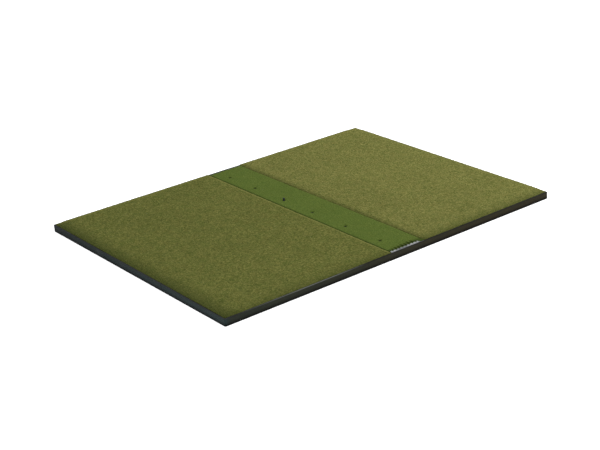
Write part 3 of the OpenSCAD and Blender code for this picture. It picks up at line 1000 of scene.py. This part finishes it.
def end_bar(end, material):
    """A rolled metal bar with softened edges and a hole for each screw."""
    node = "strip_end_bar_" + end
    low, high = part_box(node)
    screws_low, screws_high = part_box("end_bar_screws_" + end)
    head_r = (screws_high.y - screws_low.y) / 2
    places = np.linspace(screws_low.x + head_r, screws_high.x - head_r, 3)
    middle_y = (low.y + high.y) / 2
    xs = grid_lines(low.x, high.x, 4 * MM)
    ys = grid_lines(low.y, high.y, 2 * MM)
    holes = [(x, middle_y) for x in places]
    points, quads, _ = flat_sheet(xs, ys, holes, head_r + 0.1 * MM)
    rim = Rim(points, quads)
    top = np.column_stack([points, np.full(len(points), high.z)])
    top[rim.index, :2] -= rim.out * 0.5 * MM
    rings = [rim.ring(-0.15 * MM, high.z - 0.15 * MM), rim.ring(0.0, high.z - 0.5 * MM),
             rim.ring(0.0, low.z + 0.4 * MM), rim.ring(-0.35 * MM, low.z)]
    bar = closed_solid("bar_" + end, top, quads, rim, rings, points)
    bar.data.set_sharp_from_angle(angle=SHARP_ANGLE)
    place(bar, "strip", "end_bar_metal", material, node)


def turned(name, outline, centre, segments=40):
    """A closed body turned round a vertical line. outline is (radius, height) pairs."""
    turns = np.linspace(0, 2 * math.pi, segments, endpoint=False)
    inner = outline[1:-1]
    points = [(centre.x, centre.y, outline[0][1])]
    for radius, z in inner:
        points += [(centre.x + radius * math.cos(a), centre.y + radius * math.sin(a), z)
                   for a in turns]
    points.append((centre.x, centre.y, outline[-1][1]))
    index = 1 + np.arange(len(inner) * segments).reshape(len(inner), segments)
    ahead = np.roll(index, -1, axis=1)
    faces = np.stack([index[:-1], ahead[:-1], ahead[1:], index[1:]], -1).reshape(-1, 4).tolist()
    last = len(points) - 1
    faces += [[0, int(b), int(a)] for a, b in zip(index[0], ahead[0])]
    faces += [[last, int(a), int(b)] for a, b in zip(index[-1], ahead[-1])]
    return face_outward(mesh_object(name, points, faces))


def add_tee(material):
    """A rubber tee: a tube with two ribs under a flared cup with a rolled lip."""
    low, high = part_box("tee")
    stem = 5.4 * MM
    flare = (high.x - low.x) / 2
    outline = [(0, low.z), (stem - 0.8 * MM, low.z), (stem, low.z + 0.8 * MM)]
    for rib in (high.z - 20 * MM, high.z - 16 * MM):
        outline += [(stem - 0.3 * MM, rib - 1.2 * MM), (stem + 0.1 * MM, rib - 0.5 * MM)]
        outline += [(stem + 0.1 * MM, rib + 0.5 * MM), (stem - 0.3 * MM, rib + 1.2 * MM)]
    outline += [(4.9 * MM, high.z - 11 * MM), (5.0 * MM, high.z - 8 * MM)]
    outline += [(5.6 * MM, high.z - 5 * MM), (6.4 * MM, high.z - 2.4 * MM)]
    outline += [(flare, high.z - 1.0 * MM), (flare - 0.1 * MM, high.z - 0.3 * MM)]
    outline += [(flare - 0.5 * MM, high.z), (flare - 1.0 * MM, high.z - 0.3 * MM)]
    outline += [(4.6 * MM, high.z - 3 * MM), (3.0 * MM, high.z - 6 * MM), (0, high.z - 7 * MM)]
    place(turned("tee_turned", outline, centre_of("tee")), "tee", "tee_rubber", material, "tee")


def add_fittings():
    metal = aluminium_material("satin_aluminium")
    end_bar("front", metal)
    end_bar("back", metal)
    rubber, worn = rgb(0.009, 0.012, 0.024), rgb(0.030, 0.036, 0.060)
    add_tee(moulded_material("tee_rubber", rubber, worn, rough=0.45))


# ---- Studio ----

def add_floor():
    """A large pale floor, just below the object's underside."""
    size = 30.0
    points = [(-size, -size, 0), (size, -size, 0), (size, size, 0), (-size, size, 0)]
    floor = mesh_object("studio_floor", points, [[0, 1, 2, 3]])
    floor.location.z = -0.3 * MM  # so that the two don't share a plane
    dress(floor, floor_material())


def add_light(name, place_at, target, size, power):
    """A round soft light, aimed at target."""
    data = bpy.data.lights.new(name, "AREA")
    data.shape, data.size, data.energy = "DISK", size, power
    light = bpy.data.objects.new(name, data)
    light.location = place_at
    aim = Vector(target) - Vector(place_at)
    light.rotation_mode = "QUATERNION"
    light.rotation_quaternion = aim.to_track_quat("-Z", "Y")
    bpy.context.scene.collection.objects.link(light)


def add_lights():
    world = bpy.data.worlds.new("studio")
    world.use_nodes = True
    background = world.node_tree.nodes["Background"]
    background.inputs["Color"].default_value = rgb(0.97, 0.985, 1.0)
    background.inputs["Strength"].default_value = 1.0
    bpy.context.scene.world = world
    add_light("key", (3.8, -0.4, 4.0), (0, 0, 0), 2.5, 200)
    add_light("fill", (-3.5, -2.0, 4.0), (0, 0, 0), 3.0, 50)
    bpy.context.scene.view_settings.view_transform = "Standard"


def add_camera():
    """A long lens, far off the front left corner, rolled a little.

    Its place is in widths of the mat, and the lens and its sensor are in millimetres.
    """
    yaw, pitch, roll = (math.radians(a) for a in (-36.68, 22.70, -3.89))
    place_at = Vector((-1.931, -2.586, 1.3225)) * MAT_W
    ahead = Vector((-math.sin(yaw) * math.cos(pitch), math.cos(yaw) * math.cos(pitch),
                    -math.sin(pitch)))
    level = Vector((math.cos(yaw), math.sin(yaw), 0))
    upright = level.cross(ahead)
    right = math.cos(roll) * level + math.sin(roll) * upright
    up = right.cross(ahead)
    data = bpy.data.cameras.new("camera")
    data.sensor_width, data.lens = 36.0, 82.8
    data.clip_end = 100
    camera = bpy.data.objects.new("camera", data)
    turn = Matrix((right, up, -ahead)).transposed().to_4x4()
    camera.matrix_world = Matrix.Translation(place_at) @ turn
    bpy.context.scene.collection.objects.link(camera)
    bpy.context.scene.camera = camera


def dress_cad_nodes():
    """Finishes for the CAD nodes whose own shape stays."""
    board = moulded_material("board_plastic", grey(0.018), grey(0.05))
    finishes = {"base_tile": granule_material("rubber_crumb"),
                "end_bar_screws": steel_material("screw_steel"),
                "strip_board": board, "strip_end_block": board,
                "tee_socket": moulded_material("socket_rubber", grey(0.012), grey(0.03), 0.6)}
    for name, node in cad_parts.items():
        for start, material in finishes.items():
            if name.startswith(start):
                dress(node, material)


add_camera()
add_floor()
add_lights()
dress_cad_nodes()
add_rails()
add_layers()
add_left_turf()
add_right_turf()
add_strip_turf()
add_fittings()
